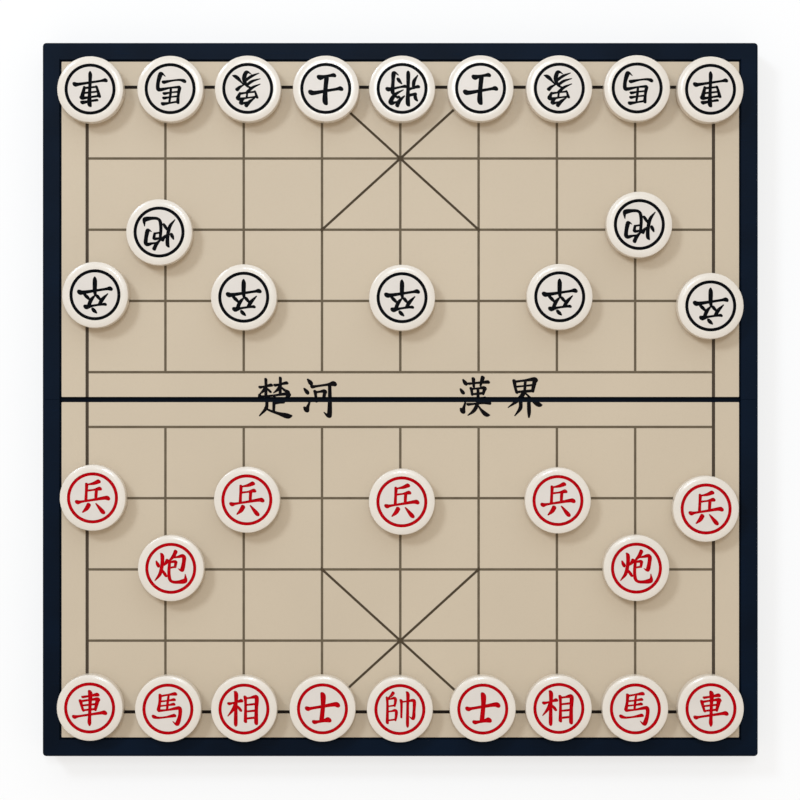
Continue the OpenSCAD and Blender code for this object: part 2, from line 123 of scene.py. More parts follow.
class Surface:
    """A procedural material: a Principled shader and the nodes that drive it, in object space."""

    def __init__(self, name, roughness, specular=0.5, metallic=0.0, coat=0.0, coat_roughness=0.1):
        self.material = bpy.data.materials.new(name)
        self.material.use_nodes = True
        self.tree = self.material.node_tree
        self.shader = self.tree.nodes["Principled BSDF"]
        self.shader.inputs["Roughness"].default_value = roughness
        self.shader.inputs["Specular IOR Level"].default_value = specular
        self.shader.inputs["Metallic"].default_value = metallic
        self.shader.inputs["Coat Weight"].default_value = coat
        self.shader.inputs["Coat Roughness"].default_value = coat_roughness
        self.place = self.node("ShaderNodeTexCoord").outputs["Object"]
        self.height = None

    def node(self, kind, **settings):
        made = self.tree.nodes.new(kind)
        for key, value in settings.items():
            setattr(made, key, value)
        return made

    def link(self, source, target):
        if isinstance(source, bpy.types.NodeSocket):
            self.tree.links.new(source, target)
        else:
            target.default_value = source

    def math(self, operation, a, b=0.0):
        made = self.node("ShaderNodeMath", operation=operation)
        self.link(a, made.inputs[0])
        self.link(b, made.inputs[1])
        return made.outputs[0]

    def own_place(self):
        """Shifts the pattern by a random step for each object, so that copies differ."""
        seed = self.node("ShaderNodeObjectInfo").outputs["Random"]
        shift = self.node("ShaderNodeVectorMath", operation="ADD")
        self.link(self.place, shift.inputs[0])
        self.link(seed, shift.inputs[1])
        self.place = shift.outputs[0]

    def noise(self, size, detail=3.0, stretch=(1, 1, 1)):
        """Noise whose features are about size metres across, stretched along the axes."""
        squeeze = self.node("ShaderNodeVectorMath", operation="DIVIDE")
        self.link(self.place, squeeze.inputs[0])
        squeeze.inputs[1].default_value = [size * s for s in stretch]
        made = self.node("ShaderNodeTexNoise")
        made.inputs["Scale"].default_value = 1.0
        made.inputs["Detail"].default_value = detail
        self.link(squeeze.outputs[0], made.inputs["Vector"])
        return made.outputs["Fac"]

    def remap(self, value, low, high, to_low, to_high):
        made = self.node("ShaderNodeMapRange")
        self.link(value, made.inputs["Value"])
        for key, number in zip(("From Min", "From Max", "To Min", "To Max"), (low, high, to_low, to_high)):
            made.inputs[key].default_value = number
        return made.outputs["Result"]

    def mix(self, factor, a, b):
        made = self.node("ShaderNodeMix", data_type="RGBA")
        self.link(factor, made.inputs["Factor"])
        for value, socket in ((a, made.inputs[6]), (b, made.inputs[7])):
            self.link(value if isinstance(value, bpy.types.NodeSocket) else (*value, 1.0), socket)
        return made.outputs[2]

    def colour(self, value):
        self.link(value, self.shader.inputs["Base Color"])

    def roughness(self, value):
        self.link(value, self.shader.inputs["Roughness"])

    def raise_by(self, value, distance):
        """Adds value, from 0 to 1, to the height of the surface, distance metres at 1."""
        step = self.math("MULTIPLY", value, distance)
        self.height = step if self.height is None else self.math("ADD", self.height, step)

    def finish(self):
        if self.height is not None:
            bump = self.node("ShaderNodeBump")
            bump.inputs["Distance"].default_value = 1.0
            self.link(self.height, bump.inputs["Height"])
            self.link(bump.outputs[0], self.shader.inputs["Normal"])
        return self.material


def shade(colour, factor):
    return tuple(c * factor for c in colour)


def moulded_plastic(name, colour, roughness, specular):
    """Satin moulded plastic with a fine spark-eroded grain, faint cloudiness and hairline scuffs."""
    s = Surface(name, roughness, specular)
    cloud = s.noise(45 * MM, 4)
    grain = s.noise(0.35 * MM, 2)
    scuffs = s.noise(1.6 * MM, 3, stretch=(9, 0.35, 1))
    scuffed = s.remap(scuffs, 0.63, 0.72, 0.0, 1.0)
    body = s.mix(s.remap(cloud, 0.35, 0.65, 0.0, 1.0), shade(colour, 0.72), shade(colour, 1.3))
    s.colour(s.mix(s.math("MULTIPLY", scuffed, 0.25), body, shade(colour, 2.2)))
    sheen = s.remap(grain, 0.3, 0.7, roughness - 0.06, roughness + 0.08)
    s.roughness(s.math("ADD", sheen, s.math("MULTIPLY", scuffed, 0.08)))
    s.raise_by(grain, 0.012 * MM)
    s.raise_by(scuffs, 0.004 * MM)
    return s.finish()


def painted_steel(name, colour):
    """The playing sheet: beige paint under a satin varnish with a faint orange peel."""
    s = Surface(name, 0.5, 0.35)
    cloud = s.noise(60 * MM, 3)
    speckle = s.noise(0.9 * MM, 3)
    peel = s.noise(1.4 * MM, 2)
    body = s.mix(s.remap(cloud, 0.3, 0.7, 0.0, 1.0), shade(colour, 0.975), shade(colour, 1.02))
    s.colour(s.mix(s.remap(speckle, 0.55, 0.75, 0.0, 0.35), body, shade(colour, 0.93)))
    s.roughness(s.remap(peel, 0.3, 0.7, 0.44, 0.56))
    s.raise_by(peel, 0.008 * MM)
    return s.finish()


def printed_ink(name, colour, palace_colour, side_colour, end_colour):
    """Screen-printed ink: a little uneven, with the odd pinhole where it is thin. It is darker on
    the palace's diagonals and on the line round the grid, most of all along the last ranks."""
    s = Surface(name, 0.5, 0.03)
    axes = s.node("ShaderNodeSeparateXYZ")
    s.link(s.place, axes.inputs[0])
    across, along = (s.math("ABSOLUTE", axes.outputs[i]) for i in range(2))
    files = s.math("DIVIDE", across, FILE_PITCH)
    ranks = s.math("ABSOLUTE", s.math("DIVIDE", s.math("SUBTRACT", along, PALACE_MIDDLE), RANK_PITCH))
    off_diagonal = s.math("ABSOLUTE", s.math("SUBTRACT", files, ranks))
    on_diagonal = s.math("LESS_THAN", off_diagonal, DIAGONAL_REACH)
    in_palace = s.math("LESS_THAN", files, PALACE_REACH)
    ink = s.mix(s.math("MULTIPLY", on_diagonal, in_palace), colour, palace_colour)
    ink = s.mix(s.math("GREATER_THAN", across, GRID_EDGE[0]), ink, side_colour)
    ink = s.mix(s.math("GREATER_THAN", along, GRID_EDGE[1]), ink, end_colour)
    s.own_place()
    cloud = s.noise(6 * MM, 3)
    pinholes = s.noise(0.25 * MM, 2)
    body = s.mix(s.remap(cloud, 0.3, 0.7, 0.0, 0.2), ink, end_colour)
    s.colour(s.mix(s.remap(pinholes, 0.66, 0.76, 0.0, 0.3), body, shade(colour, 1.6)))
    s.roughness(s.remap(cloud, 0.3, 0.7, 0.42, 0.58))
    s.raise_by(pinholes, 0.006 * MM)
    return s.finish()


def disc_plastic(name, colour, roughness, coat):
    """Cream moulded plastic, polished, with faint flow marks and handling haze."""
    s = Surface(name, roughness, 0.45, coat=coat, coat_roughness=0.12)
    s.own_place()
    cloud = s.noise(9 * MM, 4)
    flow = s.noise(3 * MM, 3, stretch=(0.6, 2.5, 1))
    haze = s.noise(0.5 * MM, 3)
    body = s.mix(s.remap(cloud, 0.3, 0.7, 0.0, 1.0), shade(colour, 0.965), shade(colour, 1.015))
    s.colour(s.mix(s.remap(flow, 0.58, 0.8, 0.0, 0.3), body, shade(colour, 0.93)))
    s.roughness(s.remap(haze, 0.3, 0.7, roughness - 0.06, roughness + 0.08))
    s.raise_by(haze, 0.004 * MM)
    s.raise_by(flow, 0.006 * MM)
    return s.finish()


def filled_paint(name, colour):
    """Enamel that fills the engraved ring and character; it pools unevenly."""
    s = Surface(name, 0.35, 0.02)
    s.own_place()
    pool = s.noise(1.2 * MM, 3)
    fleck = s.noise(0.2 * MM, 2)
    body = s.mix(s.remap(pool, 0.3, 0.7, 0.0, 1.0), shade(colour, 0.85), shade(colour, 1.2))
    s.colour(s.mix(s.remap(fleck, 0.68, 0.8, 0.0, 0.4), body, shade(colour, 1.8)))
    s.roughness(s.remap(pool, 0.3, 0.7, 0.28, 0.42))
    s.raise_by(pool, 0.02 * MM)
    return s.finish()


def brushed_steel(name):
    """Drawn wire and turned screws: fine lines along X, with dulled patches."""
    s = Surface(name, 0.3, 0.5, metallic=1.0)
    lines = s.noise(0.12 * MM, 2, stretch=(40, 1, 1))
    dull = s.noise(2.5 * MM, 3)
    s.colour(s.mix(s.remap(dull, 0.35, 0.7, 0.0, 1.0), srgb(196, 198, 202), srgb(168, 168, 170)))
    s.roughness(s.math("ADD", s.remap(dull, 0.3, 0.7, 0.2, 0.32), s.math("MULTIPLY", lines, 0.12)))
    s.raise_by(lines, 0.004 * MM)
    return s.finish()


def rubber(name, colour):
    """Matt rubber with a dusty bloom and a pebbled skin."""
    s = Surface(name, 0.8, 0.25)
    s.own_place()
    bloom = s.noise(2 * MM, 4)
    pebble = s.noise(0.3 * MM, 2)
    s.colour(s.mix(s.remap(bloom, 0.45, 0.7, 0.0, 1.0), colour, shade(colour, 1.7)))
    s.roughness(s.remap(bloom, 0.3, 0.7, 0.72, 0.9))
    s.raise_by(pebble, 0.03 * MM)
    return s.finish()


def make_materials():
    navy = srgb(3, 15, 30)
    cream = srgb(228, 219, 206)
    return {
        "case": moulded_plastic("case_plastic", navy, 0.42, 0.05),
        "clasp": moulded_plastic("clasp_plastic", navy, 0.38, 0.08),
        "tray": moulded_plastic("tray_plastic", srgb(33, 36, 42), 0.5, 0.25),
        "sheet": painted_steel("sheet_paint", srgb(202, 186, 162)),
        "ink": printed_ink(
            "grid_ink", srgb(110, 98, 80), srgb(80, 69, 54), srgb(78, 68, 57), srgb(30, 24, 20)
        ),
        "river_ink": printed_ink("river_ink", *[srgb(9, 7, 8)] * 4),
        "disc_body": disc_plastic("disc_plastic", cream, 0.3, 0.25),
        "disc_face": disc_plastic("disc_face_plastic", srgb(220, 212, 203), 0.42, 0.05),
        "black_paint": filled_paint("black_paint", srgb(4, 6, 9)),
        "red_paint": filled_paint("red_paint", srgb(178, 2, 13)),
        "steel": brushed_steel("pin_steel"),
        "foot": rubber("foot_rubber", srgb(26, 26, 27)),
    }


# The traditional characters of the discs and of the river, in a plain brush hand: each stroke is
# a list of points (x, y, width of the brush) in mm from the middle of the character
CHARIOT = [
    [(-3.4, 5.3, 1.1), (0.4, 5.9, 0.9), (3.8, 6.5, 1.6)],
    [(-4.4, 3.4, 1.5), (-3.9, 1.2, 1.2), (-3.1, -1.2, 1.1)],
    [(-4.2, 3.3, 1.0), (0.5, 4.0, 0.9), (3.9, 4.3, 1.6), (3.8, 3.7, 1.6), (3.3, 1.4, 1.3), (2.7, -0.9, 1.1)],
    [(-3.6, 1.2, 0.8), (3.0, 1.9, 0.9)],
    [(-3.1, -1.1, 0.8), (2.8, -0.5, 1.0)],
    [(-7.5, -4.3, 1.7), (-5.4, -4.0, 1.0), (0.0, -3.2, 1.0), (5.4, -2.4, 1.3), (7.3, -2.3, 2.0)],
    [(-0.3, 8.1, 0.9), (0.3, 7.2, 1.8), (0.2, 2.0, 1.3), (0.0, -4.0, 1.3),
     (-0.1, -7.0, 1.5), (-0.1, -8.4, 0.7)],
]
HORSE = [
    [(-3.7, 6.7, 1.5), (-4.0, 3.0, 1.2), (-4.6, -0.5, 1.5)],
    [(-3.5, 6.3, 1.0), (0.0, 6.9, 0.9), (3.6, 7.4, 1.7)],
    [(0.4, 6.8, 0.9), (-0.1, 3.2, 1.1), (-0.4, -0.3, 1.0)],
    [(-3.6, 3.7, 0.9), (0.0, 4.1, 0.8), (3.1, 4.6, 1.4)],
    [(-3.8, 1.5, 0.9), (0.0, 1.9, 0.8), (2.9, 2.4, 1.4)],
    [(-4.5, -0.8, 1.3), (0.0, -0.4, 0.9), (4.9, 0.5, 1.6), (5.9, 0.0, 1.7),
     (5.8, -3.2, 1.5), (4.8, -6.6, 1.8), (4.0, -7.4, 1.3), (2.4, -6.0, 0.4)],
    [(-6.8, -3.7, 1.9), (-4.6, -4.2, 1.1), (-1.0, -3.9, 0.9), (3.2, -3.1, 1.6)],
]
ELEPHANT = [
    [(0.8, 8.4, 1.5), (-0.8, 6.5, 1.3), (-3.4, 4.6, 0.5)],
    [(-0.5, 6.6, 0.8), (2.0, 7.1, 1.1), (3.4, 7.2, 1.5), (2.8, 5.9, 1.2), (1.6, 4.8, 0.6)],
    [(-4.4, 4.2, 1.4), (-4.0, 2.8, 1.1), (-3.5, 1.4, 0.9)],
    [(-4.1, 4.0, 0.9), (0.4, 4.6, 0.8), (4.6, 5.1, 1.6), (4.4, 3.8, 1.4), (3.7, 2.2, 0.9)],
    [(0.5, 4.5, 0.9), (0.2, 1.8, 0.8)],
    [(-3.6, 1.6, 0.9), (0.0, 2.0, 0.8), (3.6, 2.5, 1.1)],
    [(0.3, 1.8, 1.2), (-2.4, -0.5, 1.1), (-6.0, -2.1, 0.4)],
    [(-1.9, -0.2, 0.8), (0.4, -1.3, 1.3), (1.7, -4.0, 1.8), (1.3, -6.8, 1.6),
     (0.2, -8.0, 1.3), (-1.7, -6.9, 0.4)],
    [(0.5, -1.6, 1.1), (-2.2, -3.5, 1.1), (-6.0, -4.7, 0.4)],
    [(1.4, -3.6, 1.1), (-1.8, -5.9, 1.1), (-5.4, -7.4, 0.4)],
    [(5.2, 0.6, 1.5), (3.8, -0.7, 1.1), (1.8, -1.8, 0.5)],
    [(1.9, -1.7, 0.6), (3.6, -3.6, 1.2), (5.4, -5.4, 2.0), (7.3, -6.2, 0.5)],
]
ADVISOR = [
    [(-7.3, 0.1, 1.8), (-5.4, 0.3, 1.1), (0.0, 1.2, 1.1), (5.2, 2.1, 1.5), (7.1, 2.0, 2.1)],
    [(-0.3, 7.4, 1.0), (0.3, 6.4, 1.9), (0.2, 1.0, 1.5), (-0.4, -5.4, 1.6)],
    [(-4.0, -6.4, 1.6), (-2.2, -6.2, 1.1), (0.6, -5.8, 1.1), (3.0, -5.3, 2.0)],
]
GENERAL = [
    [(-7.1, 5.7, 1.1), (-6.5, 4.8, 1.5), (-6.3, 2.9, 1.2)],
    [(-6.6, 2.6, 1.1), (-3.2, 3.4, 1.2)],
    [(-7.9, -0.9, 1.4), (-5.6, -0.3, 0.9), (-3.2, 0.4, 1.2)],
    [(-5.5, -0.3, 1.2), (-5.8, -3.4, 1.3), (-7.6, -6.4, 0.4)],
    [(-3.4, 8.1, 0.9), (-2.8, 7.1, 1.7), (-2.9, 0.0, 1.3), (-3.0, -6.8, 1.5), (-3.1, -8.3, 0.6)],
    [(2.4, 8.3, 1.5), (1.2, 5.9, 1.3), (-1.2, 3.6, 0.5)],
    [(1.4, 6.4, 0.8), (3.6, 6.8, 1.0), (5.5, 7.1, 1.7), (4.9, 5.0, 1.5), (2.9, 2.6, 1.1), (-0.6, 0.7, 0.4)],
    [(0.6, 5.3, 0.6), (1.5, 4.2, 1.3)],
    [(2.3, 4.7, 0.6), (3.2, 3.6, 1.3)],
    [(-1.6, -1.0, 1.4), (0.6, -0.7, 0.9), (4.4, 0.1, 1.1), (6.9, 0.4, 1.9)],
    [(4.2, 2.7, 1.2), (4.6, 1.6, 1.6), (4.4, -3.0, 1.3), (4.2, -6.6, 1.6),
     (3.5, -7.6, 1.3), (1.8, -6.5, 0.4)],
    [(0.3, -2.4, 0.7), (1.3, -3.5, 1.5), (1.8, -4.4, 1.5)],
]
CANNON = [
    [(-6.9, 3.3, 0.8), (-6.3, 1.9, 1.6), (-6.1, 1.0, 1.2)],
    [(-1.6, 3.8, 1.5), (-2.6, 2.3, 1.1), (-3.9, 1.2, 0.5)],
    [(-4.6, 7.0, 1.0), (-4.1, 6.0, 1.6), (-4.2, 2.0, 1.4), (-5.2, -2.6, 1.3), (-7.7, -6.0, 0.4)],
    [(-4.3, -0.5, 0.7), (-3.1, -2.4, 1.5), (-2.4, -3.6, 1.3)],
    [(2.4, 8.2, 1.5), (1.2, 5.8, 1.3), (-1.4, 2.9, 0.5)],
    [(1.0, 5.2, 0.8), (3.4, 5.5, 1.0), (6.2, 5.9, 1.7), (6.3, 3.0, 1.5),
     (5.6, -0.4, 1.6), (4.9, -1.0, 1.1), (3.7, -0.2, 0.4)],
    [(-0.4, 3.0, 0.9), (2.2, 3.3, 1.3), (2.4, 2.6, 1.2), (2.1, 0.7, 1.0)],
    [(-0.2, 0.3, 0.8), (2.2, 0.7, 0.9)],
    [(-0.6, 2.9, 1.2), (-0.9, -1.8, 1.3), (-0.5, -5.2, 1.5), (0.8, -6.5, 1.4),
     (3.4, -6.7, 1.4), (6.2, -6.3, 1.9), (7.2, -5.4, 1.4), (7.0, -2.9, 0.4)],
]
BLACK_SOLDIER = [
    [(-0.6, 8.6, 0.8), (0.4, 7.7, 1.6), (0.9, 7.0, 1.3)],
    [(-5.0, 4.6, 1.2), (-3.0, 4.7, 0.9), (1.2, 5.3, 0.9), (4.4, 5.9, 1.8)],
    [(-2.2, 4.6, 1.1), (-3.6, 2.2, 1.2), (-6.2, -0.5, 0.4)],
    [(-3.0, 2.8, 0.6), (-1.9, 1.6, 1.3), (-1.2, 0.7, 1.4)],
    [(2.9, 4.9, 1.2), (1.8, 2.4, 1.2), (-0.2, 0.1, 0.4)],
    [(2.2, 2.8, 0.6), (3.8, 1.1, 1.5), (4.8, 0.1, 1.3)],
    [(-7.5, -3.0, 1.7), (-5.4, -2.8, 1.0), (0.0, -2.0, 1.0), (5.4, -1.2, 1.4), (7.3, -1.2, 2.0)],
    [(-0.2, 0.2, 1.0), (0.1, -2.0, 1.4), (0.0, -6.8, 1.5), (0.0, -8.5, 0.6)],
]
RED_SOLDIER = [
    [(3.0, 8.0, 1.6), (0.6, 7.0, 1.2), (-2.6, 6.4, 0.6)],
    [(-2.8, 6.6, 1.3), (-3.0, 3.0, 1.1), (-3.2, -1.2, 1.2)],
    [(-2.8, 3.5, 0.9), (0.6, 3.9, 0.8), (3.6, 4.5, 1.6)],
    [(1.9, 4.0, 1.2), (1.7, 1.4, 1.2), (1.6, -0.7, 1.1)],
    [(-7.4, -2.1, 1.8), (-5.2, -1.8, 1.0), (0.0, -1.0, 1.0), (5.4, -0.1, 1.4), (7.3, -0.1, 2.0)],
    [(-1.8, -3.3, 1.6), (-2.9, -5.2, 1.4), (-4.8, -7.0, 0.5)],
    [(1.8, -2.9, 0.7), (3.2, -4.6, 1.4), (4.8, -6.6, 2.0), (5.2, -7.1, 1.2)],
]
MINISTER = [
    [(-7.3, 2.6, 1.4), (-5.6, 2.9, 0.9), (-3.2, 3.5, 0.9), (-1.2, 4.1, 1.5)],
    [(-4.4, 8.3, 0.9), (-3.8, 7.3, 1.7), (-3.9, 2.0, 1.3), (-4.0, -6.6, 1.5), (-4.1, -8.2, 0.6)],
    [(-4.1, 3.0, 1.1), (-5.3, -0.2, 1.2), (-7.8, -3.4, 0.4)],
    [(-3.6, 2.0, 0.6), (-2.3, 0.4, 1.4), (-1.6, -0.6, 1.3)],
    [(0.6, 5.8, 1.4), (0.8, 2.0, 1.1), (0.7, -6.0, 1.4)],
    [(0.9, 5.2, 0.9), (3.2, 5.5, 0.9), (5.5, 5.9, 1.6), (6.2, 5.3, 1.7),
     (6.0, 0.0, 1.4), (5.9, -6.2, 1.6), (5.9, -7.2, 1.0)],
    [(0.9, 2.0, 0.8), (5.8, 2.5, 1.0)],
    [(0.8, -1.2, 0.8), (5.8, -0.7, 1.0)],
    [(0.8, -4.6, 0.9), (5.7, -4.1, 1.0)],
]
MARSHAL = [
    [(-3.2, 8.1, 1.5), (-4.2, 6.7, 1.2), (-5.6, 5.6, 0.5)],
    [(-6.2, 5.7, 1.3), (-6.0, 2.0, 1.2), (-6.1, -6.4, 1.5)],
    [(-5.8, 5.0, 0.9), (-4.2, 5.2, 0.9), (-2.3, 5.5, 1.5), (-2.2, 3.6, 1.3), (-2.6, 1.7, 1.0)],
    [(-5.8, 1.5, 0.8), (-2.6, 2.0, 0.9)],
    [(-5.8, -1.0, 0.9), (-4.0, -0.8, 0.9), (-1.9, -0.5, 1.5), (-1.8, -3.0, 1.3), (-2.2, -5.2, 1.0)],
    [(-5.8, -5.3, 0.9), (-2.2, -4.8, 0.9)],
    [(0.6, 4.4, 1.5), (0.8, 2.0, 1.2), (0.7, -3.8, 1.0)],
    [(0.9, 3.7, 0.9), (3.6, 4.0, 0.9), (6.3, 4.4, 1.6), (7.0, 3.8, 1.7),
     (6.9, 0.0, 1.4), (6.7, -3.4, 1.6), (6.1, -4.5, 1.3), (4.7, -3.5, 0.4)],
    [(3.3, 8.4, 0.9), (3.9, 7.4, 1.7), (3.8, 2.0, 1.3), (3.7, -6.8, 1.5), (3.7, -8.6, 0.6)],
]
RIVER_CHU = [
    [(-6.6, 5.0, 1.0), (-4.6, 5.3, 0.7), (-1.4, 6.0, 1.1)],
    [(-3.9, 8.6, 1.0), (-3.8, 4.0, 0.9), (-3.9, 1.6, 1.0)],
    [(-4.0, 5.0, 0.9), (-5.0, 3.4, 0.9), (-6.8, 1.8, 0.3)],
    [(-3.6, 4.8, 0.4), (-2.6, 3.7, 0.9), (-1.9, 3.0, 1.0)],
    [(0.2, 5.9, 1.0), (2.4, 6.3, 0.7), (5.6, 7.0, 1.1)],
    [(2.7, 9.2, 1.0), (2.7, 5.0, 0.9), (2.6, 2.4, 1.0)],
    [(2.6, 5.8, 0.9), (1.6, 4.0, 0.9), (-0.4, 2.4, 0.3)],
    [(2.8, 5.6, 0.4), (4.4, 3.8, 1.0), (6.2, 2.9, 1.2)],
    [(-6.6, 1.3, 1.1), (-7.0, -0.8, 0.9)],
    [(-6.4, 0.7, 0.8), (0.0, 1.3, 0.7), (6.4, 2.0, 1.2), (5.6, 0.4, 0.9), (5.0, -0.4, 0.4)],
    [(0.0, 1.0, 0.9), (-0.2, -2.0, 1.0), (-0.3, -5.4, 0.9)],
    [(0.0, -2.4, 0.8), (2.0, -2.0, 0.8), (3.9, -1.6, 1.2)],
    [(-3.4, -1.8, 1.0), (-3.8, -4.6, 1.0), (-6.8, -8.0, 0.4)],
    [(-4.2, -4.4, 0.7), (-2.0, -5.6, 0.9), (2.0, -7.0, 1.2), (5.6, -8.0, 1.9), (7.8, -7.9, 0.6)],
]
RIVER_HE = [
    [(-5.4, 8.4, 0.8), (-4.4, 7.2, 1.6), (-4.2, 6.6, 1.3)],
    [(-7.0, 4.2, 0.8), (-6.0, 3.0, 1.5), (-5.8, 2.4, 1.2)],
    [(-6.9, -4.4, 1.0), (-6.1, -5.4, 1.6), (-5.4, -3.6, 0.9), (-4.2, -0.4, 0.4)],
    [(-3.6, 5.2, 1.2), (-1.4, 5.5, 0.8), (3.6, 6.2, 0.9), (6.4, 6.6, 1.8)],
    [(-2.2, 3.0, 1.2), (-1.9, 0.8, 0.9), (-1.7, -1.4, 0.9)],
    [(-2.0, 2.7, 0.8), (0.2, 3.0, 0.8), (2.2, 3.2, 1.3), (2.1, 2.2, 1.1), (1.5, -0.9, 0.9)],
    [(-1.8, -1.0, 0.8), (1.6, -0.7, 0.9)],
    [(4.4, 6.0, 1.1), (4.5, 1.0, 1.2), (4.4, -6.4, 1.5), (3.8, -8.0, 1.4), (1.8, -6.4, 0.3)],
]
RIVER_HAN = [
    [(-5.4, 8.2, 0.8), (-4.6, 7.0, 1.5), (-4.4, 6.5, 1.2)],
    [(-6.6, 4.0, 0.8), (-5.8, 2.8, 1.4), (-5.6, 2.4, 1.1)],
    [(-6.4, -5.0, 1.0), (-5.7, -6.0, 1.6), (-5.2, -4.2, 0.9), (-4.2, -0.6, 0.4)],
    [(-3.0, 6.6, 0.9), (0.0, 6.9, 0.7), (5.8, 7.4, 1.2)],
    [(-0.9, 8.8, 1.2), (-0.7, 5.2, 0.8)],
    [(3.4, 9.4, 1.3), (2.8, 7.6, 1.0), (2.3, 5.5, 0.6)],
    [(-1.9, 4.4, 1.1), (-1.6, 2.9, 0.9), (-1.5, 1.6, 0.8)],
    [(-1.8, 4.2, 0.7), (1.6, 4.5, 0.7), (4.2, 4.7, 1.2), (4.0, 3.6, 1.0), (3.5, 1.9, 0.8)],
    [(-1.6, 1.8, 0.7), (3.6, 2.3, 0.9)],
    [(-2.4, -0.6, 0.8), (1.0, -0.3, 0.7), (4.6, 0.0, 1.2)],
    [(-3.4, -2.8, 1.0), (0.0, -2.5, 0.7), (3.6, -2.1, 0.9), (6.2, -2.0, 1.5)],
    [(1.2, 4.2, 0.9), (1.2, 0.0, 1.0), (0.7, -3.2, 1.1), (-0.8, -5.8, 1.0), (-3.4, -7.8, 0.3)],
    [(1.2, -3.2, 0.5), (2.6, -5.2, 1.0), (4.6, -7.2, 1.7), (6.4, -7.6, 0.5)],
]
RIVER_JIE = [
    [(-4.6, 7.8, 1.3), (-4.2, 5.0, 1.0), (-3.5, 2.6, 1.0)],
    [(-4.4, 7.5, 0.8), (0.4, 8.1, 0.8), (4.8, 8.6, 1.5), (4.6, 7.4, 1.3), (3.7, 3.2, 1.0)],
    [(0.4, 8.0, 0.9), (0.1, 3.0, 0.9)],
    [(-4.0, 5.2, 0.7), (0.0, 5.6, 0.6), (4.0, 6.0, 0.8)],
    [(-3.6, 2.8, 0.8), (3.8, 3.4, 1.0)],
    [(0.2, 3.0, 1.2), (-2.6, -0.6, 1.2), (-7.4, -4.2, 0.3)],
    [(0.4, 2.4, 0.6), (3.2, -0.4, 1.1), (6.0, -2.6, 1.9), (7.9, -3.0, 0.5)],
    [(-1.7, -1.6, 1.2), (-1.9, -4.6, 1.1), (-4.4, -8.0, 0.3)],
    [(2.0, -1.4, 1.2), (2.1, -6.0, 1.2), (2.0, -8.6, 0.6)],
]
# The strokes of each character and how much bolder than drawn it is painted
CHARACTERS = {
    "chariot": (CHARIOT, 1.34),
    "horse": (HORSE, 1.22),
    "advisor": (ADVISOR, 1.49),
    "cannon": (CANNON, 1.3),
    "black_elephant": (ELEPHANT, 1.25),
    "black_general": (GENERAL, 1.37),
    "black_soldier": (BLACK_SOLDIER, 1.5),
    "red_elephant": (MINISTER, 1.32),
    "red_general": (MARSHAL, 1.12),
    "red_soldier": (RED_SOLDIER, 1.36),
}
CHARACTER_SIZE = 0.93
# Each river character and where it stands along the seam, in mm, and how far all four are shifted
# across it. RIVER_REACH is more than half the size of any of them.
RIVER = [(RIVER_CHU, -57.2), (RIVER_HE, -36.5), (RIVER_HAN, 34.1), (RIVER_JIE, 56.4)]
RIVER_RISE = 0.6
RIVER_WEIGHT = 1.65
RIVER_SIZE = 1.0
RIVER_REACH = 12

# The brush: a slanted oval, seen as NIB_SIDES points, laid down BRUSH_STEPS times between two points
NIB_SIDES = 18
NIB_TILT = math.radians(-38)
NIB_FLAT = 0.72
BRUSH_STEPS = 6
LEAST_BRUSH = 0.25
# Points nearer than this count as one, in mm in a drawing and in metres in a mesh
SAME_POINT = 1e-4
SAME_VERTEX = 1e-7
# Faces that meet at less than FLAT_ANGLE are joined, and edges sharper than SHARP_ANGLE aren't smooth
FLAT_ANGLE = math.radians(0.5)
SHARP_ANGLE = math.radians(32)


def brush_path(points):
    """Catmull-Rom curve through the points, width included."""
    p = [Vector(q) for q in points]
    p = [2 * p[0] - p[1]] + p + [2 * p[-1] - p[-2]]
    path = []
    for a, b, c, d in zip(p, p[1:], p[2:], p[3:]):
        for i in range(BRUSH_STEPS):
            t = i / BRUSH_STEPS
            bend = (2 * a - 5 * b + 4 * c - d) * t**2
            twist = (3 * b - a - 3 * c + d) * t**3
            path.append(0.5 * (2 * b + (c - a) * t + bend + twist))
    return path + [p[-2]]


def nib(place):
    x, y, width = place
    reach = max(width, LEAST_BRUSH) / 2
    points = []
    for i in range(NIB_SIDES):
        a = 2 * math.pi * i / NIB_SIDES
        along, across = reach * math.cos(a), reach * NIB_FLAT * math.sin(a)
        points.append((
            x + along * math.cos(NIB_TILT) - across * math.sin(NIB_TILT),
            y + along * math.sin(NIB_TILT) + across * math.cos(NIB_TILT),
        ))
    return points


def convex_outline(points):
    """The outline round a set of points, anticlockwise."""

    def half(ordered):
        chain = []
        for p in ordered:
            while len(chain) > 1 and turn(chain[-2], chain[-1], p) <= 0:
                chain.pop()
            chain.append(p)
        return chain[:-1]

    ordered = sorted(points)
    return half(ordered) + half(ordered[::-1])


def turn(a, b, c):
    return (b[0] - a[0]) * (c[1] - a[1]) - (b[1] - a[1]) * (c[0] - a[0])


def brush_marks(strokes, weight, size, shift=0.0, rise=0.0):
    """Convex patches that cover the strokes, weight times as bold and size times as large as listed."""
    patches = []
    for stroke in strokes:
        path = brush_path([(x * size + shift, y * size + rise, width * weight) for x, y, width in stroke])
        patches += [convex_outline(nib(a) + nib(b)) for a, b in zip(path, path[1:])]
    return patches


def draw_in(border, patches):
    """Splits the border's inside along the patches: points, and triangles in and out of the ink."""
    faces, points = [], []
    for loop in [border] + patches:
        faces.append(range(len(points), len(points) + len(loop)))
        points += [Vector(p) for p in loop]
    found = delaunay_2d_cdt(points, [], [list(f) for f in faces], 1, SAME_POINT)
    inked, bare = [], []
    for triangle, sources in zip(found[2], found[5]):
        if 0 in sources:
            (inked if len(sources) > 1 else bare).append(triangle)
    return found[0], inked, bare


def rim_edges(triangles):
    """Edges that only one of the triangles has, in its own direction."""
    steps = {(a, b) for t in triangles for a, b in zip(t, t[1:] + t[:1])}
    return [(a, b) for a, b in steps if (b, a) not in steps]


